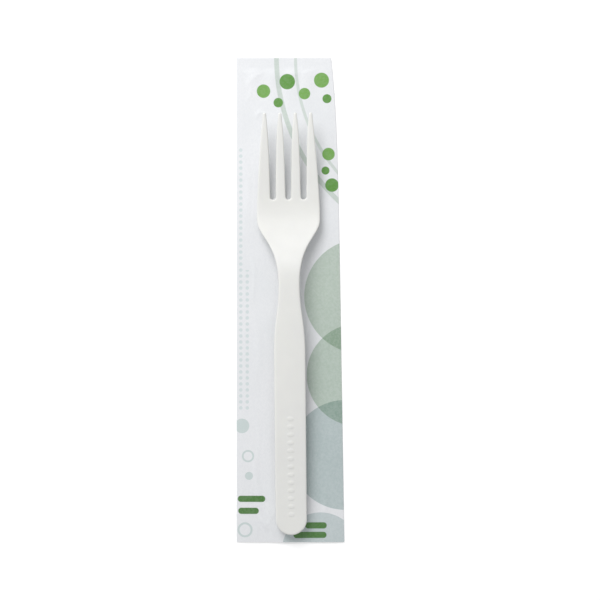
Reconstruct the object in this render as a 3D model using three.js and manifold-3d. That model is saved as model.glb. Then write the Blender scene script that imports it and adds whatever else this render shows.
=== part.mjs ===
// A single-portion cutlery pack: a moulded plastic fork lying on its flat film sleeve.
// Millimetres. X runs across the pack, Y towards the tine tips and Z up from the table.
// The origin is under the middle of the sleeve.
import * as THREE from "three";
import { mergeVertices } from "three/addons/utils/BufferGeometryUtils.js";
import Module from "manifold-3d";

const wasm = await Module();
wasm.setup();

// The fork from above, measured along it from the end of the handle
const HANDLE_LENGTH = 99.5; // to the narrowest part of the neck
const HEAD_LENGTH = 34; // from the neck to the roots of the slots
const TINE_LENGTH = 34.2; // from the roots of the slots to the tips
const HANDLE_WIDTH = 12.4;
const NECK_WIDTH = 8.3;
const HEAD_WIDTH = 25.1;
const TINE_PITCH = 6.1; // between neighbouring tines, and between slots
const SLOT_WIDTH = 2.2; // at the root, where a slot is narrowest
const TIP_WIDTH = 1.3;

// The fork from the side
const HANDLE_DEPTH = 3.6; // from the top face to the foot of the side walls
const HEAD_THICKNESS = 2.6;
const TIP_THICKNESS = 1.3;
const ARCH_HEIGHT = 4.6; // under the neck
const TIP_HEIGHT = 5.6; // under the tips
const DISH_DEPTH = 0.3; // how far the head's edges stand over its middle
const CROWN_RISE = 0.06; // how far the handle's middle stands over its edges
const EDGE_RADIUS = 0.45;

// The recess moulded under the handle, which leaves a rim and a floor
const RIM_WIDTH = 1.5;
const RIM_DRAFT = 0.35; // how far the recess's walls lean in
const FLOOR_THICKNESS = 1.4;
const RECESS_RUN = 10; // over which the recess runs out past the neck

// The film sleeve: a folded tube, sealed at the head and open at the foot
const FILM = 0.2;
const LOFT = 0.4; // gap between the two films along the middle
const FOLD_GAP = 0.12; // gap between them beside the folds and the seal
const SEAL_BAND = 3.6;
const SEAL_STEP = 0.8; // over which the films part below the seal
const LAP_WIDTH = 9; // overlap of the film's two edges, along the back
const LAP_EDGE_DEPTH = 0.12;
const LAP_EDGE_WIDTH = 0.5;
const FOLD_NOSE = 0.3; // width of the rounded fold
const PUCKER_HEIGHT = 0.25; // ripples that run down from the seal
const PUCKER_PITCH = 7.4;
const PUCKER_REACH = 18;

// How the sleeve fits round the fork
const HEAD_MARGIN = 22.7;
const FOOT_MARGIN = 3.4;
const LEFT_MARGIN = 9.13; // beside the widest part of the head
const RIGHT_MARGIN = 8.85; // the same at the foot, where the right fold stands widest
const FOLD_DRIFT = 3.1; // how far the right fold runs in towards the seal
const FOLD_NIP = 2.2; // how much further the seal draws it in
const NIP_POWER = 9; // the larger, the closer to the seal that happens

// How the fork lies on the sleeve
const FORK_TURN = 0.53; // degrees, tips to the left
const FORK_SHIFT = 0.4; // the handle's end to the right of the sleeve's middle
const SEAT_CLEARANCE = 0.3;

const HEEL = HANDLE_WIDTH / 2; // radius of the handle's round end
const SLOT = SLOT_WIDTH / 2; // radius of a slot's round root
const TIP = TIP_WIDTH / 2; // radius of a tine's round tip
const NECK_Y = HANDLE_LENGTH;
const ROOT_Y = NECK_Y + HEAD_LENGTH;
const TIP_Y = ROOT_Y + TINE_LENGTH;
const SLOT_Y = ROOT_Y + SLOT; // centres of the round roots
const NIB_Y = TIP_Y - TIP; // centres of the round tips
const TAPER_Y = HANDLE_LENGTH * 0.72; // the handle starts to narrow here
const WIDEST_Y = NECK_Y + HEAD_LENGTH * 0.77;

const SLEEVE_LENGTH = TIP_Y + HEAD_MARGIN + FOOT_MARGIN;
const SLEEVE_WIDTH = HEAD_WIDTH + LEFT_MARGIN + RIGHT_MARGIN;
const SLEEVE_LEFT = -SLEEVE_WIDTH / 2;
const SLEEVE_FOOT = -SLEEVE_LENGTH / 2;
const SLEEVE_HEAD = SLEEVE_LENGTH / 2;
const SEAT_HEIGHT = 3 * FILM + LOFT + SEAT_CLEARANCE; // three films lie under the middle

const forkPlastic = new THREE.MeshStandardMaterial({ color: 0xecebe6, roughness: 0.55, metalness: 0 });
const milkyFilm = new THREE.MeshStandardMaterial({ color: 0xe6ecee, roughness: 0.4, metalness: 0 });

// A smooth curve through [along, value] stations, flat beyond its ends
function curveThrough(stations) {
  const slopes = stations.map((here, i) => {
    const before = stations[Math.max(i - 1, 0)];
    const after = stations[Math.min(i + 1, stations.length - 1)];
    return (after[1] - before[1]) / (after[0] - before[0]);
  });
  return (along) => {
    const last = stations.length - 1;
    if (along <= stations[0][0]) return stations[0][1];
    if (along >= stations[last][0]) return stations[last][1];
    const i = stations.findIndex((station) => station[0] > along) - 1;
    const [[a, low], [b, high]] = [stations[i], stations[i + 1]];
    const run = b - a;
    const t = (along - a) / run;
    const bend = low * (1 - t) ** 2 * (1 + 2 * t) + high * t ** 2 * (3 - 2 * t);
    return bend + run * t * (1 - t) * (slopes[i] * (1 - t) - slopes[i + 1] * t);
  };
}

const smoothstep = THREE.MathUtils.smoothstep;
const alongHead = (share) => NECK_Y + HEAD_LENGTH * share;
const alongTine = (share) => ROOT_Y + TINE_LENGTH * share;

// The fork's side view: it rests on the handle's heel and on the belly of the head
const underside = curveThrough([
  [0, 0],
  [HANDLE_LENGTH * 0.35, ARCH_HEIGHT * 0.32],
  [HANDLE_LENGTH * 0.7, ARCH_HEIGHT * 0.66],
  [HANDLE_LENGTH * 0.98, ARCH_HEIGHT * 0.95],
  [alongHead(0.13), ARCH_HEIGHT],
  [alongHead(0.24), ARCH_HEIGHT * 0.93],
  [alongHead(0.39), ARCH_HEIGHT * 0.67],
  [alongHead(0.59), ARCH_HEIGHT * 0.28],
  [alongHead(0.76), ARCH_HEIGHT * 0.05],
  [alongHead(0.9), 0],
  [ROOT_Y, TIP_HEIGHT * 0.04],
  [alongTine(0.33), TIP_HEIGHT * 0.35],
  [alongTine(0.68), TIP_HEIGHT * 0.72],
  [TIP_Y, TIP_HEIGHT],
]);

const thickness = curveThrough([
  [HANDLE_LENGTH * 0.5, HANDLE_DEPTH],
  [NECK_Y, HANDLE_DEPTH],
  [alongHead(0.4), (HANDLE_DEPTH + HEAD_THICKNESS) / 2],
  [alongHead(0.8), HEAD_THICKNESS],
  [ROOT_Y, HEAD_THICKNESS],
  [TIP_Y, TIP_THICKNESS],
]);

// The head is dished across, and the handle is slightly crowned
function crossRise(x, y) {
  const toHead = smoothstep(y, alongHead(0.1), alongHead(0.65));
  const towardsTips = 1 - 0.65 * smoothstep(y, ROOT_Y, TIP_Y);
  const dish = DISH_DEPTH * (x / (HEAD_WIDTH / 2)) ** 2 * toHead * towardsTips;
  const crown = CROWN_RISE * (1 - (x / (HANDLE_WIDTH / 2)) ** 2) * (1 - toHead);
  return dish + crown;
}

// A Bezier curve that climbs in Y, read as X for a given Y
function edgeCurve(...corners) {
  const curve = new THREE.CubicBezierCurve(...corners.map((corner) => new THREE.Vector2(...corner)));
  return (y) => {
    let [low, high] = [0, 1];
    for (let i = 0; i < 40; i++) {
      const middle = (low + high) / 2;
      if (curve.getPoint(middle).y < y) low = middle;
      else high = middle;
    }
    return curve.getPoint(low).x;
  };
}

// An S-bend between two points that leaves and arrives along Y
function sBend([x0, y0], [x1, y1], leave, arrive) {
  const run = y1 - y0;
  return edgeCurve([x0, y0], [x0, y0 + run * leave], [x1, y1 - run * arrive], [x1, y1]);
}

const OUTER_TINE = TINE_PITCH * 1.5;
const SLOT_FLARE = TINE_PITCH / 2 - TIP - SLOT; // how much wider half a slot is between the tips
const SLOT_RUN = NIB_Y - SLOT_Y;
const taper = sBend([HEEL, TAPER_Y], [NECK_WIDTH / 2, NECK_Y], 0.5, 0.4);
const shoulder = sBend([NECK_WIDTH / 2, NECK_Y], [HEAD_WIDTH / 2, WIDEST_Y], 0.65, 0.27);
const flank = edgeCurve(
  [HEAD_WIDTH / 2, WIDEST_Y],
  [HEAD_WIDTH / 2, alongTine(0.07)],
  [OUTER_TINE + 3 * TIP, alongTine(0.6)],
  [OUTER_TINE + TIP, NIB_Y],
);
const flare = edgeCurve(
  [SLOT, SLOT_Y],
  [SLOT + SLOT_FLARE * 0.35, SLOT_Y + SLOT_RUN * 0.92],
  [SLOT + SLOT_FLARE * 0.73, SLOT_Y + SLOT_RUN * 0.82],
  [SLOT + SLOT_FLARE, NIB_Y],
);

// Half the chord of a circle, at a distance from its centre
const halfChord = (radius, offset) => Math.sqrt(Math.max(radius ** 2 - offset ** 2, 0));

// Half the fork's width, over everything
function outerEdge(y) {
  if (y < HEEL) return halfChord(HEEL, HEEL - y);
  if (y < TAPER_Y) return HEEL;
  if (y < NECK_Y) return taper(y);
  if (y < WIDEST_Y) return shoulder(y);
  return y < NIB_Y ? flank(y) : OUTER_TINE + halfChord(TIP, y - NIB_Y);
}

// Half the width of a slot: the three are alike
function slotEdge(y) {
  if (y < SLOT_Y) return halfChord(SLOT, SLOT_Y - y);
  return y < NIB_Y ? flare(y) : TINE_PITCH / 2 - halfChord(TIP, y - NIB_Y);
}

// How square on to Y an edge runs there: 1 along Y, 0 across it
function squareness(edge, y) {
  return 1 / Math.hypot(1, (edge(y + 0.01) - edge(y - 0.01)) / 0.02);
}

// How far a point of the plan lies inside the fork's outline
function depthInside(x, y) {
  if (y < HEEL) return HEEL - Math.hypot(x, HEEL - y);
  const fromSide = (outerEdge(y) - Math.abs(x)) * squareness(outerEdge, y);
  const nearestSlot = Math.abs(x) < TINE_PITCH / 2 ? 0 : TINE_PITCH;
  const acrossSlot = Math.abs(x) - nearestSlot;
  if (y < SLOT_Y) return Math.min(fromSide, Math.hypot(acrossSlot, SLOT_Y - y) - SLOT);
  const tine = Math.abs(x) < TINE_PITCH ? TINE_PITCH / 2 : OUTER_TINE;
  if (y > NIB_Y) return TIP - Math.hypot(Math.abs(x) - tine, y - NIB_Y);
  return Math.min(fromSide, (Math.abs(acrossSlot) - slotEdge(y)) * squareness(slotEdge, y));
}

// The fork's top and foot over a point of the plan
function forkHeights(x, y) {
  const full = thickness(y);
  const radius = Math.min(EDGE_RADIUS, 0.4 * full);
  const inside = Math.max(depthInside(x, y), 0);
  const rounding = radius - halfChord(radius, Math.max(radius - inside, 0));
  const toRecess = THREE.MathUtils.clamp((inside - RIM_WIDTH) / RIM_DRAFT, 0, 1);
  const recess = (full - FLOOR_THICKNESS) * toRecess * (1 - smoothstep(y, NECK_Y, NECK_Y + RECESS_RUN));
  const foot = underside(y) + crossRise(x, y);
  return { top: foot + full - rounding, foot: foot + rounding + recess };
}

// Seven columns across a tine, closest where its edges are rounded
function tineColumns(y, slotSide, farSide, farEdge) {
  const width = farSide - slotSide;
  const inset = (share, depth, edge) => Math.min(share * width, depth / squareness(edge, y));
  return [
    slotSide,
    slotSide + inset(0.1, 0.3 * EDGE_RADIUS, slotEdge),
    slotSide + inset(0.28, EDGE_RADIUS, slotEdge),
    slotSide + width / 2,
    farSide - inset(0.28, EDGE_RADIUS, farEdge),
    farSide - inset(0.1, 0.3 * EDGE_RADIUS, farEdge),
    farSide,
  ];
}

const innerTine = (y) => tineColumns(y, slotEdge(y), TINE_PITCH - slotEdge(y), slotEdge);
const outerTine = (y) => tineColumns(y, TINE_PITCH + slotEdge(y), outerEdge(y), outerEdge);

// Columns across the right half of the handle and head. They follow the rim
// of the recess, and turn into the columns of the tines at the slots' roots.
function bodyColumns(y) {
  const width = outerEdge(y);
  const follow = (share, depth) => {
    const round = halfChord(HEEL - depth, HEEL - y);
    return Math.max(share * width, y < HEEL ? round : width - depth / squareness(outerEdge, y));
  };
  const rim = [follow(0.55, RIM_WIDTH + RIM_DRAFT), follow(0.65, RIM_WIDTH)];
  const rounded = [follow(0.8, EDGE_RADIUS), follow(0.92, 0.3 * EDGE_RADIUS), width];
  const even = Array.from({ length: 8 }, (_, i) => (rim[0] * i) / 8);
  const plain = [...even, ...rim, ...rounded];
  const roots = [...innerTine(ROOT_Y).slice(0, -1), ...outerTine(ROOT_Y)];
  const blend = smoothstep(y, alongHead(0.4), ROOT_Y);
  return plain.map((x, i) => (i > 9 ? x : THREE.MathUtils.lerp(x, roots[i], blend)));
}

function mirrored(columns) {
  return [...columns.slice(1).reverse().map((x) => -x), ...columns];
}

// Even stations after the first value, up to and including the last
function steps(from, to, count) {
  return Array.from({ length: count }, (_, i) => from + ((to - from) * (i + 1)) / count);
}

const bodyRows = [
  0.02,
  0.3 * EDGE_RADIUS,
  EDGE_RADIUS,
  RIM_WIDTH,
  RIM_WIDTH + RIM_DRAFT,
  ...steps(RIM_WIDTH + RIM_DRAFT, HEEL, 3),
  ...steps(HEEL, TAPER_Y, 7),
  ...steps(TAPER_Y, NECK_Y, 6),
  ...steps(NECK_Y, ROOT_Y - 2, 15),
  ROOT_Y - EDGE_RADIUS,
  ROOT_Y - 0.3 * EDGE_RADIUS,
  ROOT_Y,
];
const tineRows = [
  ROOT_Y,
  ...steps(0, Math.PI / 2, 4).map((angle) => SLOT_Y - SLOT * Math.cos(angle)),
  ...steps(SLOT_Y, NIB_Y, 8),
  ...steps(0, 1.4, 3).map((angle) => NIB_Y + TIP * Math.sin(angle)),
];

// Triangles over a grid of points, given row by row. They face the side from
// which the rows run to the left as the points run forwards.
function overGrid(rows) {
  const corners = [];
  for (let j = 0; j < rows.length - 1; j++) {
    for (let i = 0; i < rows[j].length - 1; i++) {
      const [a, b, c, d] = [rows[j][i], rows[j][i + 1], rows[j + 1][i + 1], rows[j + 1][i]];
      corners.push(a, b, c, a, c, d);
    }
  }
  return corners;
}

// The skin of a plate with a top and a foot over the same grid: both faces and
// the walls along the two sides. The ends are closed where asked.
function plateSkin(tops, feet, closeFirst, closeLast) {
  const backwards = (rows) => rows.map((row) => [...row].reverse());
  const last = tops.length - 1;
  const right = tops[0].length - 1;
  const side = (i) => tops.map((row, j) => [feet[j][i], row[i]]);
  return [
    ...overGrid(tops),
    ...overGrid(backwards(feet)),
    ...overGrid(side(0)),
    ...overGrid(backwards(side(right))),
    ...(closeFirst ? overGrid([feet[0], tops[0]]) : []),
    ...(closeLast ? overGrid([tops[last], feet[last]]) : []),
  ];
}

function forkSkin(rows, columnsAt, closeFirst, closeLast) {
  const grid = (face) =>
    rows.map((y) => columnsAt(y).map((x) => new THREE.Vector3(x, y, forkHeights(x, y)[face])));
  return plateSkin(grid("top"), grid("foot"), closeFirst, closeLast);
}

// The handle and head are one loft, which parts into four at the roots of the slots
function forkGeometry() {
  const tines = [innerTine, outerTine].flatMap((columns) => [
    ...forkSkin(tineRows, columns, false, true),
    ...forkSkin(tineRows, (y) => columns(y).reverse().map((x) => -x), false, true),
  ]);
  const body = forkSkin(bodyRows, (y) => mirrored(bodyColumns(y)), true, false);
  return merged(new THREE.BufferGeometry().setFromPoints([...body, ...tines]));
}

// Shares corners that meet, and drops triangles that have none between them
function merged(geometry) {
  const bare = geometry.clone();
  bare.deleteAttribute("normal");
  bare.deleteAttribute("uv");
  const shared = mergeVertices(bare, 1e-5);
  const index = shared.index.array;
  const kept = [];
  for (let i = 0; i < index.length; i += 3) {
    const [a, b, c] = [index[i], index[i + 1], index[i + 2]];
    if (a !== b && b !== c && c !== a) kept.push(a, b, c);
  }
  return shared.setIndex(new THREE.BufferAttribute(new Uint32Array(kept), 1));
}

function toSolid(geometry) {
  const shared = merged(geometry);
  const vertProperties = shared.attributes.position.array;
  return new wasm.Manifold(new wasm.Mesh({ numProp: 3, vertProperties, triVerts: shared.index.array }));
}

function toGeometry(solid) {
  const mesh = solid.getMesh();
  const geometry = new THREE.BufferGeometry();
  geometry.setAttribute("position", new THREE.BufferAttribute(new Float32Array(mesh.vertProperties), 3));
  return geometry.setIndex(new THREE.BufferAttribute(new Uint32Array(mesh.triVerts), 1));
}

// The sleeve's width from its straight left fold to its right fold, which runs in towards the seal
function sleeveWidth(y) {
  const towardsSeal = Math.max(y - SLEEVE_FOOT, 0) / SLEEVE_LENGTH;
  return SLEEVE_WIDTH - FOLD_DRIFT * towardsSeal - FOLD_NIP * towardsSeal ** NIP_POWER;
}

// How much of the lap's third film lies under a point: all of it, easing to none beside the lap
function lapShare(x) {
  return 1 - smoothstep(Math.abs(x), LAP_WIDTH / 2, LAP_WIDTH / 2 + 1.2);
}

// Gap between the two films: widest along the middle, closing to the folds and the seal
function filmGap(x, y) {
  const sealEdge = SLEEVE_HEAD - SEAL_BAND;
  if (y >= sealEdge) return 0;
  const across = (2 * (x - SLEEVE_LEFT)) / sleeveWidth(y) - 1;
  const fromSeal = sealEdge - y;
  const open = smoothstep(fromSeal, 0, 26) * (1 - across ** 6);
  const ripple = 0.5 + 0.5 * Math.cos((2 * Math.PI * x) / PUCKER_PITCH);
  const fade = smoothstep(fromSeal, 0, 4) * (1 - smoothstep(fromSeal, 4, PUCKER_REACH));
  const parted = FOLD_GAP * smoothstep(fromSeal, 0, SEAL_STEP);
  return parted + (LOFT - FOLD_GAP) * open + PUCKER_HEIGHT * ripple * fade * (1 - across ** 2);
}

const sleeveTop = (x, y) => FILM * (2 + lapShare(x)) + filmGap(x, y);

// A closed skin between two heights over the sleeve's plan, on a grid of columns and rows
function sleeveSkin(columns, rows, low, high) {
  const grid = (height) =>
    rows.map((y) =>
      columns.map((column) => {
        const x = SLEEVE_LEFT + column(sleeveWidth(y));
        return new THREE.Vector3(x, y, height(x, y));
      }),
    );
  return new THREE.BufferGeometry().setFromPoints(plateSkin(grid(high), grid(low), true, true));
}

// Rows are closest near the seal, where the films part and pucker
function sleeveRows() {
  const sealEdge = SLEEVE_HEAD - SEAL_BAND;
  const rows = [SLEEVE_HEAD, sealEdge];
  for (let drop = SEAL_STEP; drop < SLEEVE_LENGTH - SEAL_BAND - 4; drop += drop < 26 ? 2.6 : 9) {
    rows.push(sealEdge - drop);
  }
  return [...rows, SLEEVE_FOOT].reverse();
}

// The tube of film: an outer skin, less the space between its two films, less the step at the lap's edge
function sleeveGeometry() {
  const nose = (width) => FOLD_NOSE / width;
  const inside = [0, ...steps(0, 1, 22)].map(
    (share) => (width) => width * (nose(width) + (1 - 2 * nose(width)) * share),
  );
  const outside = [() => 0, ...inside, (width) => width];
  const onFold = (x, y) => x < SLEEVE_LEFT + 1e-3 || x > SLEEVE_LEFT + sleeveWidth(y) - 1e-3;
  const outerLow = (x, y) => (onFold(x, y) ? FILM : 0);
  const outerHigh = (x, y) => (onFold(x, y) ? FILM : sleeveTop(x, y));
  const rows = sleeveRows();
  const outer = toSolid(sleeveSkin(outside, rows, outerLow, outerHigh));

  const cavityLow = (x) => FILM * (1 + lapShare(x));
  const cavityHigh = (x, y) => sleeveTop(x, y) - FILM;
  const pastMouth = SLEEVE_FOOT - 1;
  const cavityRows = [pastMouth, ...rows.slice(0, -2)];
  const cavity = toSolid(sleeveSkin(inside.slice(1, -1), cavityRows, cavityLow, cavityHigh));

  const lapEdge = new THREE.Shape([
    new THREE.Vector2(-LAP_EDGE_WIDTH / 2, -LAP_EDGE_DEPTH),
    new THREE.Vector2(LAP_EDGE_WIDTH / 2, -LAP_EDGE_DEPTH),
    new THREE.Vector2(0, LAP_EDGE_DEPTH),
  ]);
  const groove = new THREE.ExtrudeGeometry(lapEdge, { depth: SLEEVE_LENGTH + 2, bevelEnabled: false });
  groove.rotateX(Math.PI / 2).translate(LAP_WIDTH / 2, SLEEVE_HEAD + 1, 0);
  return toGeometry(outer.subtract(cavity).subtract(toSolid(groove)));
}

const pack = new THREE.Group();

const fork = new THREE.Mesh(forkGeometry(), forkPlastic);
fork.name = "fork";
const lyingFork = new THREE.Group();
lyingFork.position.set(FORK_SHIFT, SLEEVE_FOOT + FOOT_MARGIN, SEAT_HEIGHT);
lyingFork.rotation.z = THREE.MathUtils.degToRad(FORK_TURN);
lyingFork.add(fork);
pack.add(lyingFork);

const sleeve = new THREE.Mesh(sleeveGeometry(), milkyFilm);
sleeve.name = "film_sleeve";
pack.add(sleeve);

export default pack;
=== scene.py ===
"""A moulded plastic fork lying on its flat, empty film sleeve, seen from straight above."""

import math

import bpy
import numpy as np
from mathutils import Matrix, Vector


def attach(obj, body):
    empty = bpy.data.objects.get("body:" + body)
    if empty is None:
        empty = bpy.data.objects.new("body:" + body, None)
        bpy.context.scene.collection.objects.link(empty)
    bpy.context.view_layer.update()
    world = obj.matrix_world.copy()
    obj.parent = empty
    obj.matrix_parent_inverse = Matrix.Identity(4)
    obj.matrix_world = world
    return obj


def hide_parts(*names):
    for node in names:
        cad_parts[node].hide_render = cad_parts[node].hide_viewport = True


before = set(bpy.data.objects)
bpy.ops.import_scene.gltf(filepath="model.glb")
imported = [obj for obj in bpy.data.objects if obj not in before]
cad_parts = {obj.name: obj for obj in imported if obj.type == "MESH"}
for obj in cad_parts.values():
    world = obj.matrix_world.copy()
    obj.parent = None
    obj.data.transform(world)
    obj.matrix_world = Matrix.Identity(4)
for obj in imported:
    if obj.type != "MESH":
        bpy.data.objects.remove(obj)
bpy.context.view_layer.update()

MM = 0.001


# Curves and meshes, in millimetres

STEPS_PER_MM = 1e5  # points that round to the same step are shared
CURVE_STEPS = 800


def smoothstep(v, low, high):
    """From 0 at low to 1 at high, level at both ends."""
    t = np.clip((v - low) / (high - low), 0, 1)
    return t * t * (3 - 2 * t)


def curve_through(stations):
    """A smooth curve through (along, value) stations, flat beyond its ends."""
    xs, ys = (np.array(v, float) for v in zip(*stations))
    before, after = np.r_[0, : len(xs) - 1], np.r_[1 : len(xs), len(xs) - 1]
    slopes = (ys[after] - ys[before]) / (xs[after] - xs[before])

    def at(v):
        v = np.clip(np.asarray(v, float), xs[0], xs[-1])
        i = np.clip(np.searchsorted(xs, v, side="right") - 1, 0, len(xs) - 2)
        run = xs[i + 1] - xs[i]
        t = (v - xs[i]) / run
        bend = ys[i] * (1 - t) ** 2 * (1 + 2 * t) + ys[i + 1] * t**2 * (3 - 2 * t)
        return bend + run * t * (1 - t) * (slopes[i] * (1 - t) - slopes[i + 1] * t)

    return at


def edge_curve(*corners):
    """A Bezier curve that climbs in Y, read as X for a given Y."""
    a, b, c, d = np.array(corners, float)
    t = np.linspace(0, 1, CURVE_STEPS + 1)[:, None]
    pts = a * (1 - t) ** 3 + 3 * b * t * (1 - t) ** 2 + 3 * c * t**2 * (1 - t) + d * t**3
    return lambda y: np.interp(y, pts[:, 1], pts[:, 0])


def s_bend(a, b, leave, arrive):
    """An edge that runs along Y at both of its ends."""
    run = b[1] - a[1]
    return edge_curve(a, (a[0], a[1] + run * leave), (b[0], b[1] - run * arrive), b)


def half_chord(radius, offset):
    """Half the width of a circle at an offset from its centre."""
    return np.sqrt(np.maximum(radius**2 - np.asarray(offset, float) ** 2, 0))


def steps(low, high, count):
    """Even steps from low to high, without low itself."""
    return list(np.linspace(low, high, count + 1)[1:])


def grid(rows, columns, start=0):
    """Vertex numbers of a grid, row by row."""
    return start + np.arange(rows * columns).reshape(rows, columns)


def strip(near, far):
    """Quads between two chains of vertices of the same length."""
    return np.stack([near[:-1], near[1:], far[1:], far[:-1]], 1)


def faces_over(numbers, flip=False):
    """Quads over a grid of vertices."""
    quads = np.concatenate([strip(a, b) for a, b in zip(numbers[:-1], numbers[1:])])
    return quads[:, ::-1] if flip else quads


def stacked(x, y, z):
    """Grids of coordinates as one list of points."""
    return np.stack([x, y, z], 2).reshape(-1, 3)


def make_mesh(name, points, quads, sharp):
    """A mesh object from millimetre points and quads. Points that meet are shared."""
    keys = np.round(points * STEPS_PER_MM).astype(np.int64)
    _, first, shared = np.unique(keys, axis=0, return_index=True, return_inverse=True)
    faces = []
    for quad in shared.reshape(-1)[quads]:
        face = list(dict.fromkeys(int(v) for v in quad))
        if len(face) > 2:
            faces.append(face)
    mesh = bpy.data.meshes.new(name)
    mesh.from_pydata((points[first] * MM).tolist(), [], faces)
    mesh.validate()
    mesh.shade_smooth()
    mesh.set_sharp_from_angle(angle=math.radians(sharp))
    made = bpy.data.objects.new(name, mesh)
    bpy.context.scene.collection.objects.link(made)
    return made


# The fork's driving sizes, as in the solid, apart from a slightly larger edge radius

HANDLE_LENGTH, HEAD_LENGTH, TINE_LENGTH = 99.5, 34.0, 34.2
HANDLE_WIDTH, NECK_WIDTH, HEAD_WIDTH = 12.4, 8.3, 25.1
TINE_PITCH, SLOT_WIDTH, TIP_WIDTH = 6.1, 2.2, 1.3
HANDLE_DEPTH, HEAD_THICKNESS, TIP_THICKNESS = 3.6, 2.6, 1.3
ARCH_HEIGHT, TIP_HEIGHT = 4.6, 5.6
DISH_DEPTH, CROWN_RISE, EDGE_RADIUS = 0.3, 0.06, 0.55
RIM_WIDTH, RIM_DRAFT, FLOOR_THICKNESS, RECESS_RUN = 1.5, 0.35, 1.4, 10.0

HEEL, SLOT, TIP = HANDLE_WIDTH / 2, SLOT_WIDTH / 2, TIP_WIDTH / 2
NECK_Y = HANDLE_LENGTH
ROOT_Y = NECK_Y + HEAD_LENGTH
TIP_Y = ROOT_Y + TINE_LENGTH
SLOT_Y, NIB_Y = ROOT_Y + SLOT, TIP_Y - TIP
TAPER_Y = HANDLE_LENGTH * 0.72
WIDEST_Y = NECK_Y + HEAD_LENGTH * 0.77
OUTER_TINE = TINE_PITCH * 1.5
SLOT_FLARE = TINE_PITCH / 2 - TIP - SLOT

# A row of low raised ovals along the handle's face, whose sides slope between two shares of their size
RELIEF_FROM, RELIEF_TO, RELIEF_PITCH = 8.2, 46.4, 3.18
RELIEF_HALF, RELIEF_HEIGHT, RELIEF_MARGIN = (1.45, 0.95), 0.13, 1.2
RELIEF_FLAT, RELIEF_EDGE = 0.5, 1.1

# The sleeve's outline round the fork, and the fork's place on it
HEAD_MARGIN, FOOT_MARGIN, LEFT_MARGIN, RIGHT_MARGIN = 22.7, 3.4, 9.13, 8.85
SLEEVE_LENGTH = TIP_Y + HEAD_MARGIN + FOOT_MARGIN
SLEEVE_WIDTH = HEAD_WIDTH + LEFT_MARGIN + RIGHT_MARGIN
SLEEVE_LEFT, SLEEVE_FOOT, SLEEVE_HEAD = -SLEEVE_WIDTH / 2, -SLEEVE_LENGTH / 2, SLEEVE_LENGTH / 2
FOLD_DRIFT, FOLD_NIP, NIP_POWER = 3.1, 2.2, 9
FORK_TURN, FORK_SHIFT, FORK_LIFT = math.radians(0.53), 0.4, 1.3

ROUNDED_SHARE = 0.4  # the rounded edges take no more of the thickness than this
DISH_LOSS = 0.65  # the share of the dish that is gone at the tips
FINE_HALF, FINE_SHARE = 1.8, 0.45  # columns are closest within this of the middle, for the ovals
FORK_SHARP, FILM_SHARP = 38, 60  # corners steeper than this, in degrees, stay sharp


def along_head(share):
    """A place between the neck and the roots of the slots."""
    return NECK_Y + HEAD_LENGTH * share


def along_tine(share):
    """A place between the roots of the slots and the tips."""
    return ROOT_Y + TINE_LENGTH * share


underside = curve_through(
    [
        (0, 0),
        (HANDLE_LENGTH * 0.35, ARCH_HEIGHT * 0.32),
        (HANDLE_LENGTH * 0.7, ARCH_HEIGHT * 0.66),
        (HANDLE_LENGTH * 0.98, ARCH_HEIGHT * 0.95),
        (along_head(0.13), ARCH_HEIGHT),
        (along_head(0.24), ARCH_HEIGHT * 0.93),
        (along_head(0.39), ARCH_HEIGHT * 0.67),
        (along_head(0.59), ARCH_HEIGHT * 0.28),
        (along_head(0.76), ARCH_HEIGHT * 0.05),
        (along_head(0.9), 0),
        (ROOT_Y, TIP_HEIGHT * 0.04),
        (along_tine(0.33), TIP_HEIGHT * 0.35),
        (along_tine(0.68), TIP_HEIGHT * 0.72),
        (TIP_Y, TIP_HEIGHT),
    ]
)
thickness = curve_through(
    [
        (HANDLE_LENGTH * 0.5, HANDLE_DEPTH),
        (NECK_Y, HANDLE_DEPTH),
        (along_head(0.4), (HANDLE_DEPTH + HEAD_THICKNESS) / 2),
        (along_head(0.8), HEAD_THICKNESS),
        (ROOT_Y, HEAD_THICKNESS),
        (TIP_Y, TIP_THICKNESS),
    ]
)
taper = s_bend((HEEL, TAPER_Y), (NECK_WIDTH / 2, NECK_Y), 0.5, 0.4)
shoulder = s_bend((NECK_WIDTH / 2, NECK_Y), (HEAD_WIDTH / 2, WIDEST_Y), 0.65, 0.27)
flank = edge_curve(
    (HEAD_WIDTH / 2, WIDEST_Y),
    (HEAD_WIDTH / 2, along_tine(0.07)),
    (OUTER_TINE + 3 * TIP, along_tine(0.6)),
    (OUTER_TINE + TIP, NIB_Y),
)
flare = edge_curve(
    (SLOT, SLOT_Y),
    (SLOT + SLOT_FLARE * 0.35, SLOT_Y + (NIB_Y - SLOT_Y) * 0.92),
    (SLOT + SLOT_FLARE * 0.73, SLOT_Y + (NIB_Y - SLOT_Y) * 0.82),
    (SLOT + SLOT_FLARE, NIB_Y),
)


def outer_edge(y):
    """Half the fork's width, from its round end to its tips."""
    y = np.asarray(y, float)
    return np.select(
        [y < HEEL, y < TAPER_Y, y < NECK_Y, y < WIDEST_Y, y < NIB_Y],
        [half_chord(HEEL, HEEL - y), HEEL + 0 * y, taper(y), shoulder(y), flank(y)],
        OUTER_TINE + half_chord(TIP, y - NIB_Y),
    )


def slot_edge(y):
    """Half a slot's width, from its round root to the tips."""
    y = np.asarray(y, float)
    return np.select(
        [y < SLOT_Y, y < NIB_Y],
        [half_chord(SLOT, SLOT_Y - y), flare(y)],
        TINE_PITCH / 2 - half_chord(TIP, y - NIB_Y),
    )


def squareness(edge, y, reach=0.01):
    """The share of a distance along X that is square to a slanting edge."""
    return 1 / np.hypot(1, (edge(y + reach) - edge(y - reach)) / (2 * reach))


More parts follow.
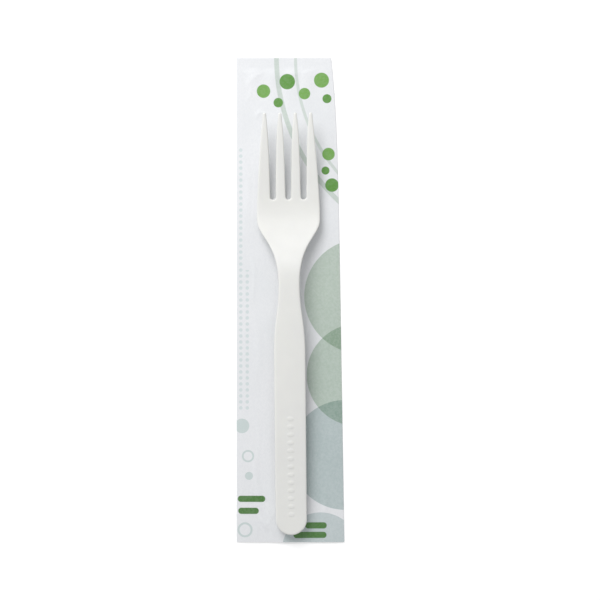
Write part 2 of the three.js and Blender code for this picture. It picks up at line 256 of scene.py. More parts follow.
def depth_inside(x, y):
    """How far a point of the plan lies inside the fork's outline."""
    x = np.abs(x)
    side = (outer_edge(y) - x) * squareness(outer_edge, y)
    across = x - np.where(x < TINE_PITCH / 2, 0, TINE_PITCH)
    tine = np.where(x < TINE_PITCH, TINE_PITCH / 2, OUTER_TINE)
    return np.select(
        [y < HEEL, y < SLOT_Y, y > NIB_Y],
        [
            HEEL - np.hypot(x, HEEL - y),
            np.minimum(side, np.hypot(across, SLOT_Y - y) - SLOT),
            TIP - np.hypot(x - tine, y - NIB_Y),
        ],
        np.minimum(side, (np.abs(across) - slot_edge(y)) * squareness(slot_edge, y)),
    )


def cross_rise(x, y):
    """The dish of the head and the slight crown of the handle."""
    to_head = smoothstep(y, along_head(0.1), along_head(0.65))
    towards_tips = 1 - DISH_LOSS * smoothstep(y, ROOT_Y, TIP_Y)
    dish = DISH_DEPTH * (x / (HEAD_WIDTH / 2)) ** 2 * to_head * towards_tips
    crown = CROWN_RISE * (1 - (x / HEEL) ** 2) * (1 - to_head)
    return dish + crown


def relief(x, y):
    """The low ovals on the handle's face."""
    number = np.round((y - RELIEF_FROM) / RELIEF_PITCH)
    middle = RELIEF_FROM + number * RELIEF_PITCH
    reach = np.hypot(x / RELIEF_HALF[0], (y - middle) / RELIEF_HALF[1])
    height = RELIEF_HEIGHT * (1 - smoothstep(reach, RELIEF_FLAT, RELIEF_EDGE))
    return height * (number >= 0) * (middle < RELIEF_TO)


def fork_heights(x, y):
    """Heights of the fork's face and underside."""
    full = thickness(y)
    radius = np.minimum(EDGE_RADIUS, ROUNDED_SHARE * full)
    inside = np.maximum(depth_inside(x, y), 0)
    rounding = radius - half_chord(radius, np.maximum(radius - inside, 0))
    to_recess = np.clip((inside - RIM_WIDTH) / RIM_DRAFT, 0, 1)
    recess = (full - FLOOR_THICKNESS) * to_recess * (1 - smoothstep(y, NECK_Y, NECK_Y + RECESS_RUN))
    foot = underside(y) + cross_rise(x, y)
    return foot + full - rounding + relief(x, y), foot + rounding + recess


# Insets over the rounded edge, as shares of its radius
ROUND = [1 - math.cos(k * math.pi / 8) for k in range(5)]


def tine_columns(y, slot_side, far_side, far_edge):
    """Columns across one tine. Those over its rounded edges keep to a share of its width."""
    width = far_side - slot_side
    near, far = squareness(slot_edge, y), squareness(far_edge, y)
    shares = [0.0, 0.04, 0.1, 0.2, 0.3]
    left = [slot_side + min(s * width, EDGE_RADIUS * r / near) for s, r in zip(shares, ROUND)]
    right = [far_side - min(s * width, EDGE_RADIUS * r / far) for s, r in zip(shares, ROUND)]
    middle = np.linspace(left[-1], right[-1], 5)[1:-1]
    return np.array([*left, *middle, *right[::-1]])


def inner_tine(y):
    """Columns of the tine beside the middle slot."""
    edge = float(slot_edge(y))
    return tine_columns(y, edge, TINE_PITCH - edge, slot_edge)


def outer_tine(y):
    """Columns of the tine at the fork's side."""
    return tine_columns(y, TINE_PITCH + float(slot_edge(y)), float(outer_edge(y)), outer_edge)


def body_columns(y):
    """Columns across the right half of the handle and head."""
    width = float(outer_edge(y))

    def follow(share, depth):
        if y < HEEL:
            return max(share * width, float(half_chord(HEEL - depth, HEEL - y)))
        return max(share * width, width - depth / float(squareness(outer_edge, y)))

    rim_depths = [(0.5, RIM_WIDTH + RIM_DRAFT), (0.53, RIM_WIDTH + RIM_DRAFT / 2), (0.57, RIM_WIDTH)]
    rim = [follow(share, depth) for share, depth in rim_depths]
    rounded = [follow(s, EDGE_RADIUS * r) for s, r in zip([0.97, 0.91, 0.84, 0.76], ROUND[1:])]
    fine = min(FINE_HALF, FINE_SHARE * rim[0])
    even = [*np.linspace(0, fine, 12)[:-1], *np.linspace(fine, rim[0], 7)[:-1]]
    plain = np.array([*even, *rim, *rounded[::-1], width])
    roots = np.r_[inner_tine(ROOT_Y)[:-1], outer_tine(ROOT_Y)]
    blend = float(smoothstep(y, along_head(0.4), ROOT_Y))
    beyond_even = np.arange(len(plain)) > len(even) + 2
    return np.where(beyond_even, plain, plain * (1 - blend) + roots * blend)


# Rows along the fork, closest over its ovals and round its ends and roots
body_rows = [
    0.02,
    *(HEEL * (1 - math.cos(a)) for a in np.linspace(0.1, 0.62, 7)),
    RIM_WIDTH,
    RIM_WIDTH + RIM_DRAFT / 2,
    RIM_WIDTH + RIM_DRAFT,
    *steps(RIM_WIDTH + RIM_DRAFT, HEEL, 7),
    *steps(HEEL, RELIEF_FROM - RELIEF_MARGIN, 2),
    *steps(RELIEF_FROM - RELIEF_MARGIN, RELIEF_TO + RELIEF_MARGIN, 236),
    *steps(RELIEF_TO + RELIEF_MARGIN, TAPER_Y, 14),
    *steps(TAPER_Y, NECK_Y, 22),
    *steps(NECK_Y, ROOT_Y - 1.5, 52),
    *(ROOT_Y - d for d in (1.2, 0.9, 0.65, *(EDGE_RADIUS * r for r in ROUND[:0:-1]), 0)),
]
tine_rows = [
    ROOT_Y,
    *(SLOT_Y - SLOT * math.cos(a) for a in steps(0, math.pi / 2, 9)),
    *steps(SLOT_Y, NIB_Y, 40),
    *(NIB_Y + TIP * math.sin(a) for a in steps(0, 1.45, 7)),
]


def fork_skin(rows, columns, close_first, close_last):
    """Points and quads of one loft: both faces, the side walls and the ends asked for."""
    y, x = np.broadcast_arrays(np.array(rows)[:, None], np.array(columns))
    top, foot = fork_heights(x, y)
    tops, feet = grid(*x.shape), grid(*x.shape, start=x.size)
    quads = [
        faces_over(tops),
        faces_over(feet, flip=True),
        strip(tops[:, 0], feet[:, 0]),
        strip(feet[:, -1], tops[:, -1]),
    ]
    if close_first:
        quads.append(strip(feet[0], tops[0]))
    if close_last:
        quads.append(strip(tops[-1], feet[-1]))
    return np.r_[stacked(x, y, top), stacked(x, y, foot)], np.concatenate(quads)


def on_the_sleeve(points):
    """The fork's points, turned a little and set down in its place."""
    x, y, z = points.T
    c, s = math.cos(FORK_TURN), math.sin(FORK_TURN)
    across = FORK_SHIFT + x * c - y * s
    along = SLEEVE_FOOT + FOOT_MARGIN + x * s + y * c
    return np.stack([across, along, z + FORK_LIFT], 1)


def make_fork():
    """The handle and head as one loft, and a loft for each tine, joined along the roots."""
    body = [np.r_[-half[:0:-1], half] for half in map(body_columns, body_rows)]
    parts = [fork_skin(body_rows, body, True, False)]
    for tine in (inner_tine, outer_tine):
        right = [tine(y) for y in tine_rows]
        left = [-half[::-1] for half in right]
        parts += [fork_skin(tine_rows, side, False, True) for side in (right, left)]
    points, quads, start = [], [], 0
    for part_points, part_quads in parts:
        points.append(part_points)
        quads.append(part_quads + start)
        start += len(part_points)
    placed = on_the_sleeve(np.concatenate(points))
    return make_mesh("fork_moulding", placed, np.concatenate(quads), FORK_SHARP)


# The film sleeve

SEAL_BAND = 3.6
SEAL_EDGE = SLEEVE_HEAD - SEAL_BAND
WALL = 0.06
LAP_X, LAP_STEP, LAP_EDGE = 4.5, 0.07, 0.15
BACK_TOP = LAP_STEP + 0.01  # above this the film is the front, with the front's print
FOLD_ROUNDING, FOLD_FLAT = 0.1, 0.5  # beside a fold, where the film rounds over and the lap runs out
CRIMP_HEIGHT, CRIMP_PITCH, CRIMP_RUN = 0.008, 0.9, 0.4

# How the front stands off the back. A run is how far below the seal that takes to be full,
# and the larger a power, the nearer the folds that holds.
PARTED, PARTED_RUN, PARTED_POWER = 0.1, 2.6, 12
OPENNESS, OPENNESS_RUN = 0.24, 26
PUCKER_HEIGHT, PUCKER_PITCH, PUCKER_PEAK, PUCKER_END = 0.22, 7.4, 4, 18
SLACK, SLACK_START, SLACK_RUN, SLACK_POWER = 0.22, 0.3, 3.5, 6
LEAST_GAP, LEAST_RUN = 0.03, 0.8

# Slack as a sum of waves, in radians along a millimetre
WAVES, WAVE_SEED = 14, 7
ACROSS_WAVES, ALONG_WAVES, WAVE_STRENGTHS = (0.05, 0.5), (-0.16, 0.16), (0.4, 1.0)

# Rows and columns of the outer skin, and the rows that the inner one takes over
SLEEVE_ROWS, SEAL_ROWS, SLEEVE_COLUMNS = 380, 20, 93
FOLD_COLUMN = 0.12  # from a fold to the next column
INNER_EVERY, INNER_STOP = 8, 0.05

# Where the fork rests, the film is lifted to meet it: place, spread and height
RESTS = [((FORK_SHIFT, SLEEVE_FOOT + 9.0), (5.2, 11.0), 0.84), ((-0.8, 36.5), (8.0, 8.0), 0.64)]

# Creases of the film: path, half width and height. The smaller the fade, the blunter their ends.
CREASE_FADE = 0.7
SOFT_CREASES = [
    ([(-18.1, 84.9), (-15.3, 88.6), (-12.9, 87.7)], 1.1, 0.12),
    ([(4.7, 89.3), (7.1, 92.2), (11.1, 92.9)], 0.9, 0.14),
    ([(-14.6, 72.6), (-12.4, 75.2), (-9.6, 74.6)], 0.8, 0.14),
    ([(-9.7, -82.1), (-8.1, -88.1), (-5.7, -94.6)], 0.8, 0.24),
    ([(-12.6, -86.6), (-8.9, -92.4)], 0.7, 0.2),
    ([(-14.8, -62.0), (-13.6, -72.0), (-11.3, -85.0)], 1.0, 0.18),
    ([(-19.5, 62.0), (-16.8, 48.0), (-17.5, 30.0)], 1.3, 0.16),
    ([(15.5, 70.0), (17.0, 52.0), (16.2, 34.0)], 1.2, 0.18),
    ([(10.5, 6.0), (14.8, -14.0), (13.6, -34.0)], 1.4, 0.16),
    ([(-17.0, 6.0), (-12.6, -14.0), (-13.5, -36.0)], 1.5, 0.15),
    ([(9.5, -64.0), (14.5, -78.0), (13.0, -92.0)], 1.2, 0.18),
]
CRISP_CREASES = [
    ([(-11.0, -82.6), (-9.6, -87.4), (-7.2, -92.6)], 0.5, 0.13),
    ([(-12.8, -86.2), (-10.6, -89.8), (-9.2, -93.4)], 0.45, 0.11),
    ([(-6.3, -84.0), (-8.0, -88.4), (-10.2, -91.2)], 0.45, 0.09),
    ([(-14.9, -88.0), (-13.0, -91.0), (-13.4, -94.8)], 0.5, 0.09),
    ([(-19.2, 90.4), (-16.4, 91.7), (-13.4, 90.9)], 0.5, 0.09),
    ([(-15.4, 88.2), (-12.8, 90.3), (-10.4, 90.5)], 0.45, 0.09),
    ([(-1.2, 91.3), (1.6, 90.3), (4.6, 91.2)], 0.45, 0.09),
    ([(8.2, 86.4), (11.4, 88.4), (14.8, 88.1)], 0.5, 0.09),
    ([(-18.6, 78.0), (-16.2, 81.8), (-15.6, 86.2)], 0.5, 0.09),
    ([(-13.8, -42.0), (-12.6, -56.0), (-13.4, -70.0)], 0.6, 0.09),
    ([(9.6, -50.0), (11.2, -64.0), (10.4, -79.0)], 0.6, 0.11),
    ([(12.8, -44.0), (13.6, -58.0), (12.2, -71.0)], 0.6, 0.09),
    ([(-16.6, 22.0), (-14.2, 12.0), (-15.2, -3.0)], 0.6, 0.09),
    ([(16.8, 30.0), (14.6, 20.0), (15.8, 6.0)], 0.6, 0.09),
]


def sleeve_width(y):
    """The folded width, less towards the seal, where the right fold runs in."""
    share = np.clip((y - SLEEVE_FOOT) / SLEEVE_LENGTH, 0, 1)
    return SLEEVE_WIDTH - FOLD_DRIFT * share - FOLD_NIP * share**NIP_POWER


def ridge(x, y, path, spread, height):
    """A crease along a path of points, rounded across and fading at its ends."""
    path = np.array(path, float)
    nearest = np.full(np.shape(x), np.inf)
    along = np.zeros(np.shape(x))
    lengths = np.hypot(*np.diff(path, axis=0).T)
    gone = 0.0
    for a, b, length in zip(path[:-1], path[1:], lengths):
        run = (b - a) / length
        t = np.clip((x - a[0]) * run[0] + (y - a[1]) * run[1], 0, length)
        away = np.hypot(x - a[0] - t * run[0], y - a[1] - t * run[1])
        closer = away < nearest
        nearest = np.where(closer, away, nearest)
        along = np.where(closer, (gone + t) / lengths.sum(), along)
        gone += length
    fading = np.sin(np.pi * np.clip(along, 0, 1)) ** CREASE_FADE
    return height * fading * np.exp(-((nearest / spread) ** 2))


def undulation(x, y):
    """Slack of the film: long soft waves, mostly across the sleeve."""
    rng = np.random.default_rng(WAVE_SEED)
    total = np.zeros(np.shape(x))
    for _ in range(WAVES):
        kx, ky = rng.uniform(*ACROSS_WAVES), rng.uniform(*ALONG_WAVES)
        strength = rng.uniform(*WAVE_STRENGTHS)
        total += strength * np.sin(kx * x + ky * y + rng.uniform(0, 2 * math.pi))
    return total / WAVES


def lift_to_the_fork(x, y):
    """How far the film rises where the fork rests on it."""
    return sum(
        height * np.exp(-(((x - cx) / wide) ** 2) - ((y - cy) / long) ** 2)
        for (cx, cy), (wide, long), height in RESTS
    )


def film_gap(x, y, creased):
    """Gap between the front film and the back one."""
    across = 2 * (x - SLEEVE_LEFT) / sleeve_width(y) - 1
    from_seal = SEAL_EDGE - y
    bow = 1 - across**2
    parted = PARTED * smoothstep(from_seal, 0, PARTED_RUN) * (1 - across**PARTED_POWER)
    swell = OPENNESS * smoothstep(from_seal, 0, OPENNESS_RUN) * bow
    ripple = 0.5 + 0.5 * np.cos(2 * np.pi * x / PUCKER_PITCH)
    rise = smoothstep(from_seal, 0, PUCKER_PEAK) * (1 - smoothstep(from_seal, PUCKER_PEAK, PUCKER_END))
    pucker = PUCKER_HEIGHT * ripple * bow * rise
    slack = SLACK * undulation(x, y)
    if creased:
        slack = slack + sum(ridge(x, y, *crease) for crease in SOFT_CREASES + CRISP_CREASES)
    free = smoothstep(from_seal, SLACK_START, SLACK_RUN) * (1 - np.abs(across) ** SLACK_POWER)
    least = LEAST_GAP * smoothstep(from_seal, 0, LEAST_RUN)
    return np.maximum(parted + swell + pucker + slack * free + lift_to_the_fork(x, y), least)


def film_heights(x, y, at_fold, creased=True):
    """Heights of the flat tube's upper and lower face."""
    lap = LAP_STEP * smoothstep(x, LAP_X - LAP_EDGE, LAP_X + LAP_EDGE)
    crimp = CRIMP_HEIGHT * np.sin(2 * np.pi * (y - SLEEVE_HEAD) / CRIMP_PITCH)
    crimp = crimp * smoothstep(y, SEAL_EDGE, SEAL_EDGE + CRIMP_RUN)
    low = lap * smoothstep(at_fold, 0, FOLD_FLAT)
    return 2 * WALL + lap + film_gap(x, y, creased) + crimp, low


def sleeve_grid():
    """Rows along the sleeve, and columns across it as shares of its width."""
    rows = [
        *np.linspace(SLEEVE_FOOT, SEAL_EDGE - 1, SLEEVE_ROWS),
        *(SEAL_EDGE - d for d in (0.6, 0.3, 0.0)),
        *steps(SEAL_EDGE, SLEEVE_HEAD, SEAL_ROWS),
    ]
    fold = FOLD_COLUMN / SLEEVE_WIDTH
    columns = [0, fold, *np.linspace(3 * fold, 1 - 3 * fold, SLEEVE_COLUMNS), 1 - fold, 1]
    return np.array(rows), np.array(columns)


def outer_skins(x, y, at_fold):
    """The front and the back as seen from outside, rounded over at the folds."""
    top, low = film_heights(x, y, at_fold)
    middle = (top + low) / 2
    rounded = half_chord(1, np.maximum(1 - at_fold / FOLD_ROUNDING, 0))
    return [(x, y, middle + (top - middle) * rounded), (x, y, middle - (middle - low) * rounded)]


def inner_skins(x, y, at_fold):
    """The front and the back as seen from inside, without creases, closed at the folds and seal."""
    top, low = film_heights(x, y, at_fold, creased=False)
    top, low = top - WALL, low + WALL
    closed = (top + low) / 2
    for edge in (np.s_[:, 0], np.s_[:, -1], np.s_[-1, :]):
        top[edge] = low[edge] = closed[edge]
    return [(x, y, top), (x, y, low)]


def make_sleeve():
    """A tube of film folded flat: outer skins and coarser inner ones, joined round the mouth."""
    rows, columns = sleeve_grid()
    y, share = np.broadcast_arrays(rows[:, None], columns[None, :])
    x = SLEEVE_LEFT + share * sleeve_width(y)
    at_fold = np.minimum(share, 1 - share) * SLEEVE_WIDTH

    # The inner skins stop short of the folds and of the seal
    open_rows = np.flatnonzero(rows < SEAL_EDGE - INNER_STOP)
    inner_rows = np.unique([*open_rows[::INNER_EVERY], open_rows[-1]])
    pick = np.ix_(inner_rows, np.arange(1, len(columns) - 1))
    surfaces = outer_skins(x, y, at_fold) + inner_skins(x[pick], y[pick], at_fold[pick])
    starts = np.cumsum([0] + [surface[0].size for surface in surfaces])
    tops, feet, inner_tops, inner_feet = (
        grid(*surface[0].shape, start=start) for surface, start in zip(surfaces, starts)
    )
    quads = [
        faces_over(tops),
        faces_over(feet, flip=True),
        faces_over(inner_tops, flip=True),
        faces_over(inner_feet),
        strip(tops[:, 0], feet[:, 0]),
        strip(feet[:, -1], tops[:, -1]),
        strip(tops[-1], feet[-1]),
        # Round the mouth, from the outer skin to the inner one, whose ends fan out to the folds
        strip(np.pad(inner_tops[0], 1, mode="edge"), tops[0]),
        strip(feet[0], np.pad(inner_feet[0], 1, mode="edge")),
    ]
    points = np.concatenate([stacked(*surface) for surface in surfaces])
    return make_mesh("sleeve_film", points, np.concatenate(quads), FILM_SHARP)


# Materials. Noise scales are per metre, and the distances of bumps are in metres.


def srgb(r, g, b):
    """A colour read as 8-bit sRGB, as linear."""
    shares = np.array([r, g, b]) / 255
    linear = np.where(shares <= 0.04045, shares / 12.92, ((shares + 0.055) / 1.055) ** 2.4)
    return (*linear.tolist(), 1.0)


class Nodes:
    """Short names for building a tree of shader nodes."""

    def __init__(self, owner):
        owner.use_nodes = True
        self.owner = owner
        self.tree = owner.node_tree
        self.tree.nodes.clear()

    def add(self, kind, inputs=(), **settings):
        node = self.tree.nodes.new(kind)
        for key, value in settings.items():
            setattr(node, key, value)
        for key, value in dict(inputs).items():
            self.put(node.inputs[key], value)
        return node

    def put(self, socket, value):
        if isinstance(value, bpy.types.NodeSocket):
            self.tree.links.new(value, socket)
        else:
            socket.default_value = value

    def place(self):
        return self.add("ShaderNodeTexCoord").outputs["Object"]

    def math(self, operation, *values):
        node = self.add("ShaderNodeMath", operation=operation)
        for socket, value in zip(node.inputs, values):
            self.put(socket, value)
        return node.outputs[0]

    def vector(self, operation, *values):
        node = self.add("ShaderNodeVectorMath", operation=operation)
        for socket, value in zip(node.inputs, values):
            self.put(socket, value)
        return node.outputs["Value" if operation in ("DISTANCE", "LENGTH") else "Vector"]

    def ramp(self, value, low, high, to=(0.0, 1.0)):
        limits = {"From Min": low, "From Max": high, "To Min": to[0], "To Max": to[1]}
        node = self.add("ShaderNodeMapRange", {"Value": value, **limits}, interpolation_type="SMOOTHSTEP")
        return node.outputs["Result"]

    def noise(self, where, scale, detail=2.0, roughness=0.5):
        inputs = {"Vector": where, "Scale": scale, "Detail": detail, "Roughness": roughness}
        return self.add("ShaderNodeTexNoise", inputs).outputs["Fac"]

    def mix(self, share, a, b, mode="MIX"):
        node = self.add("ShaderNodeMix", data_type="RGBA", blend_type=mode)
        first, second = (s for s in node.inputs if s.type == "RGBA")
        self.put(node.inputs["Factor"], share)
        self.put(first, a)
        self.put(second, b)
        return next(s for s in node.outputs if s.type == "RGBA")

    def bump(self, height, distance, strength, under=None):
        node = self.add("ShaderNodeBump", {"Height": height, "Distance": distance, "Strength": strength})
        if under is not None:
            self.put(node.inputs["Normal"], under)
        return node.outputs["Normal"]

    def seen(self):
        """One for the rays of the camera, of gloss and of see-through surfaces, else zero."""
        rays = self.add("ShaderNodeLightPath").outputs
        seen = self.math("MAXIMUM", rays["Is Camera Ray"], rays["Is Glossy Ray"])
        return self.math("MAXIMUM", seen, rays["Is Transmission Ray"])

    def principled(self, **inputs):
        named = {key.replace("_", " "): value for key, value in inputs.items()}
        return self.finish(self.add("ShaderNodeBsdfPrincipled", named), "ShaderNodeOutputMaterial")

    def finish(self, shader, output):
        self.put(self.add(output).inputs["Surface"], shader.outputs[0])
        return self.owner


def fork_plastic():
    """Satin white plastic with a fine orange peel and a few warm flecks."""
    n = Nodes(bpy.data.materials.new("fork_plastic"))
    where = n.place()
    cloud = n.ramp(n.noise(where, 55.0, 3.0), 0.3, 0.7)
    tone = n.mix(cloud, srgb(234, 234, 230), srgb(230, 230, 227))
    flecks = n.ramp(n.noise(where, 1500.0, 2.0, 0.6), 0.68, 0.8, (0.0, 0.35))
    tone = n.mix(flecks, tone, srgb(224, 223, 214))
    rough = n.ramp(n.noise(where, 240.0, 3.0), 0.3, 0.7, (0.44, 0.56))
    waves = n.bump(n.noise(where, 110.0, 1.0), 0.00025, 0.12)
    peel = n.bump(n.noise(where, 900.0, 2.0, 0.55), 0.00003, 0.5, waves)
    return n.principled(
        Base_Color=tone,
        Roughness=rough,
        Normal=peel,
        IOR=1.46,
        Subsurface_Weight=0.12,
        Subsurface_Radius=(1.0, 1.0, 0.9),
        Subsurface_Scale=0.0012,
    )


class Print:
    """Simple printed shapes on the film, laid out in millimetres, as masks from 0 to 1."""

    def __init__(self, nodes, where):
        self.nodes = nodes
        self.plane = nodes.vector("MULTIPLY", where, (1 / MM, 1 / MM, 0.0))

    def within(self, distance, reach, soft=0.12):
        """One inside a reach, zero outside it, with an edge a little soft."""
        return self.nodes.ramp(distance, reach - soft, reach + soft, (1.0, 0.0))

    def distance(self, x, y):
        return self.nodes.vector("DISTANCE", self.plane, (x, y, 0.0))

    def disc(self, x, y, radius):
        return self.within(self.distance(x, y), radius)

    def ring(self, x, y, radius, width):
        off = self.nodes.math("SUBTRACT", self.distance(x, y), radius)
        return self.within(self.nodes.math("ABSOLUTE", off), width / 2)

    def bar(self, x, y, length, width=2.5, corner=1.2):
        folded = self.nodes.vector("ABSOLUTE", self.nodes.vector("SUBTRACT", self.plane, (x, y, 0.0)))
        beyond = self.nodes.vector("SUBTRACT", folded, (length / 2 - corner, width / 2 - corner, 0.0))
        outside = self.nodes.vector("MAXIMUM", beyond, (0.0, 0.0, 0.0))
        return self.within(self.nodes.vector("LENGTH", outside), corner)

    def dot_column(self, x, low, high, pitch=2.4, radius=0.7):
        apart = self.nodes.add("ShaderNodeSeparateXYZ", {"Vector": self.plane}).outputs
        across = self.nodes.math("SUBTRACT", apart["X"], x)
        along = self.nodes.math("WRAP", apart["Y"], pitch / 2, -pitch / 2)
        squares = [self.nodes.math("MULTIPLY", v, v) for v in (across, along)]
        dots = self.within(self.nodes.math("SQRT", self.nodes.math("ADD", *squares)), radius, 0.15)
        middle = self.nodes.math("ABSOLUTE", self.nodes.math("SUBTRACT", apart["Y"], (low + high) / 2))
        return self.nodes.math("MULTIPLY", dots, self.nodes.math("LESS_THAN", middle, (high - low) / 2))

    def fibres(self, angle, length, width):
        """Noise drawn out along a direction."""
        rotation = (0.0, 0.0, math.radians(angle))
        inputs = {"Vector": self.plane, "Rotation": rotation, "Scale": (width, length, 1.0)}
        turned = self.nodes.add("ShaderNodeMapping", inputs, vector_type="TEXTURE")
        return self.nodes.noise(turned.outputs["Vector"], 1.0, 2.0, 0.6)

    def any_of(self, masks):
        total = masks[0]
        for mask in masks[1:]:
            total = self.nodes.math("MAXIMUM", total, mask)
        return total


def thin_inks(n, art, tone, density):
    """Broad discs of thin ink, darker where they cross, and two thin arcs."""
    inks = [
        (srgb(200, 214, 199), art.disc(28.5, 1.5, 23.0)),
        (srgb(198, 213, 198), art.disc(27.0, -30.0, 20.5)),
        (srgb(200, 213, 211), art.disc(22.0, -62.0, 22.0)),
        (srgb(213, 223, 222), art.disc(12.0, -100.5, 15.5)),
        (srgb(218, 228, 218), art.ring(73.0, 97.0, 78.6, 1.9)),
        (srgb(226, 234, 226), art.ring(73.0, 97.0, 71.0, 1.2)),
    ]
    for colour, mask in inks:
        tone = n.mix(n.math("MULTIPLY", mask, density), tone, colour, "MULTIPLY")
    return tone


def bold_inks(n, art, tone, density):
    """Dots of fresh green, and short green bars."""
    light = [(-10.8, 83.6, 2.7), (5.6, 82.6, 2.3), (12.4, 88.0, 3.0), (15.2, 58.4, 2.5)]
    dark = [(-4.9, 79.0, 1.9), (-1.3, 87.4, 3.1), (14.6, 80.6, 1.8), (14.0, 51.8, 1.6), (16.6, 46.0, 2.7)]
    bars = [(-15.6, -79.6, 11.0), (-16.8, -84.4, 8.2), (10.2, -90.2, 8.6), (7.8, -94.0, 13.2)]
    layers = [
        (srgb(116, 168, 80), [art.disc(*dot) for dot in light]),
        (srgb(92, 148, 60), [art.disc(*dot) for dot in dark]),
        (srgb(76, 122, 58), [art.bar(*bar) for bar in bars]),
    ]
    for colour, masks in layers:
        tone = n.mix(n.math("MULTIPLY", art.any_of(masks), density), tone, colour)
    return tone


def back_inks(n, art, tone, strength):
    """The back's print, which is also seen faintly from the front."""
    dots = [art.dot_column(-19.9, -44.0, 61.0), art.dot_column(-17.3, -44.0, 12.0)]
    marks = [
        art.disc(-19.4, -50.4, 2.9),
        art.ring(-17.0, -62.5, 2.1, 0.7),
        art.disc(-16.6, -70.4, 1.6),
        art.ring(-18.2, -92.0, 2.6, 0.8),
    ]
    tone = n.mix(n.math("MULTIPLY", art.any_of(dots), strength), tone, srgb(196, 214, 213))
    return n.mix(n.math("MULTIPLY", art.any_of(marks), strength), tone, srgb(173, 198, 192))


def back_film(n, art, paper, front):
    """The back: its own print, the lap of the tube and the front's print, seen faintly."""
    tone = back_inks(n, art, n.mix(0.25, paper, front), 1.0)
    across = n.math("ABSOLUTE", n.add("ShaderNodeSeparateXYZ", {"Vector": art.plane}).outputs["X"])
    lap = art.within(across, LAP_X, 0.08)
    return n.mix(lap, tone, srgb(236, 238, 240), "MULTIPLY")


def printed_film():
    """Thin milky film, a little fibrous and buckled, with its print on both sides."""
    n = Nodes(bpy.data.materials.new("printed_film"))
    where = n.place()
    art = Print(n, where)
    grain = n.math("ADD", art.fibres(32, 1.5, 0.5), art.fibres(-32, 1.5, 0.5))
    cloud = n.ramp(n.noise(where, 38.0, 3.0), 0.3, 0.7)
    tone = n.mix(cloud, srgb(242, 243, 245), srgb(237, 239, 241))
    paper = n.mix(n.ramp(grain, 0.85, 1.15, (0.0, 0.4)), tone, srgb(232, 234, 237))
    speckle = n.noise(where, 1100.0, 3.0, 0.6)
    tone = thin_inks(n, art, paper, n.ramp(speckle, 0.35, 0.65, (0.86, 1.0)))
    tone = bold_inks(n, art, tone, n.ramp(speckle, 0.35, 0.65, (0.95, 1.0)))
    height = n.add("ShaderNodeSeparateXYZ", {"Vector": where}).outputs["Z"]
    on_front = n.ramp(height, BACK_TOP * MM, (BACK_TOP + 0.02) * MM)
    tone = n.mix(on_front, back_film(n, art, paper, tone), back_inks(n, art, tone, 0.5))
    rough = n.ramp(n.noise(where, 160.0, 3.0), 0.3, 0.7, (0.46, 0.58))
    buckles = n.bump(n.noise(where, 75.0, 3.0, 0.55), 0.0004, 0.3)
    fine = n.bump(n.noise(where, 420.0, 4.0, 0.6), 0.00005, 0.35, buckles)
    woven = n.bump(grain, 0.00003, 0.5, fine)
    return n.principled(Base_Color=tone, Roughness=rough, Normal=woven, IOR=1.48, Alpha=0.92)


# The setting

# Strengths of the world's light and of the floor's own glow, close by and far off, in metres
AMBIENT, FLOOR_GLOW, FAR_GLOW = 0.52, 0.38, 0.6
NEAR, FAR = 0.3, 1.2
FLOOR_HALF, FLOOR_DROP = 2.5, 0.0002
FLOOR_COLOUR, WORLD_COLOUR = (0.8, 0.8, 0.8, 1.0), (0.985, 0.99, 1.0, 1.0)
LAMP_PLACE, LAMP_SIZE, LAMP_ENERGY = (-0.29, 0.54, 0.57), 0.58, 5.15
CAMERA_PLACE, CAMERA_LENS, CAMERA_SENSOR = (0.0038, 0.0, 0.6675), 100, 36


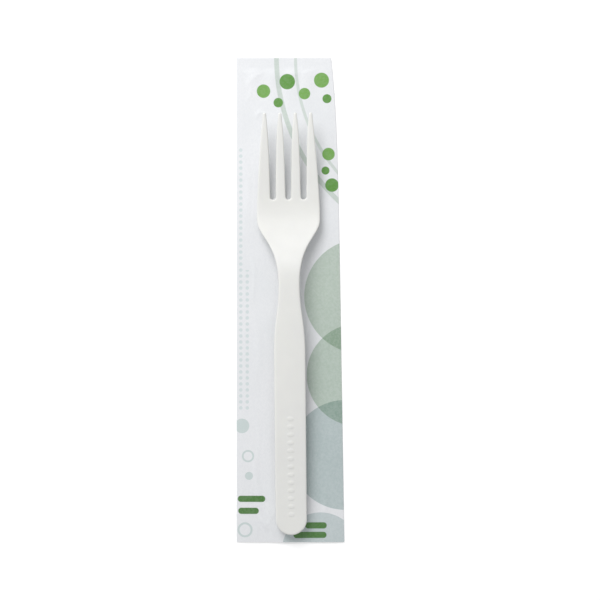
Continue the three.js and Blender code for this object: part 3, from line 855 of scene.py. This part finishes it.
def floor():
    """A plain pale floor, which fades to white away from the object."""
    signs = [(-1, -1), (1, -1), (1, 1), (-1, 1)]
    corners = [(x * FLOOR_HALF, y * FLOOR_HALF, -FLOOR_DROP) for x, y in signs]
    mesh = bpy.data.meshes.new("floor")
    mesh.from_pydata(corners, [], [(0, 1, 2, 3)])
    made = bpy.data.objects.new("floor", mesh)
    bpy.context.scene.collection.objects.link(made)
    n = Nodes(bpy.data.materials.new("floor_white"))
    away = n.vector("LENGTH", n.place())
    glow = n.math("MULTIPLY", n.seen(), n.ramp(away, NEAR, FAR, (FLOOR_GLOW, FAR_GLOW)))
    both = n.add("ShaderNodeAddShader")
    n.put(both.inputs[0], n.add("ShaderNodeBsdfDiffuse", {"Color": FLOOR_COLOUR}).outputs[0])
    n.put(both.inputs[1], n.add("ShaderNodeEmission", {"Strength": glow}).outputs[0])
    mesh.materials.append(n.finish(both, "ShaderNodeOutputMaterial"))


def studio_light():
    """One broad soft lamp, towards the upper left of the view."""
    data = bpy.data.lights.new("key", "AREA")
    data.shape = "DISK"
    data.size = LAMP_SIZE
    data.energy = LAMP_ENERGY
    made = bpy.data.objects.new("key", data)
    made.location = LAMP_PLACE
    made.rotation_euler = (-Vector(made.location)).to_track_quat("-Z", "Y").to_euler()
    bpy.context.scene.collection.objects.link(made)


def studio_world():
    """Even light from all round, which shows as white."""
    n = Nodes(bpy.data.worlds.new("studio"))
    strength = n.ramp(n.seen(), 0.0, 1.0, (AMBIENT, 1.0))
    back = n.add("ShaderNodeBackground", {"Color": WORLD_COLOUR, "Strength": strength})
    return n.finish(back, "ShaderNodeOutputWorld")


def camera_above():
    """The camera, looking straight down."""
    data = bpy.data.cameras.new("camera")
    data.lens = CAMERA_LENS
    data.sensor_width = CAMERA_SENSOR
    data.clip_start, data.clip_end = 0.01, 20
    made = bpy.data.objects.new("camera", data)
    made.location = CAMERA_PLACE
    bpy.context.scene.collection.objects.link(made)
    return made


pieces = [
    (make_fork(), "fork", "fork_plastic", fork_plastic()),
    (make_sleeve(), "film_sleeve", "milky_film", printed_film()),
]
for piece, node, slot, material in pieces:
    piece.data.materials.append(material)
    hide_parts(node)
    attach(piece, "root")

floor()
studio_light()
scene = bpy.context.scene
scene.world = studio_world()
scene.camera = camera_above()
scene.view_settings.view_transform = "Standard"
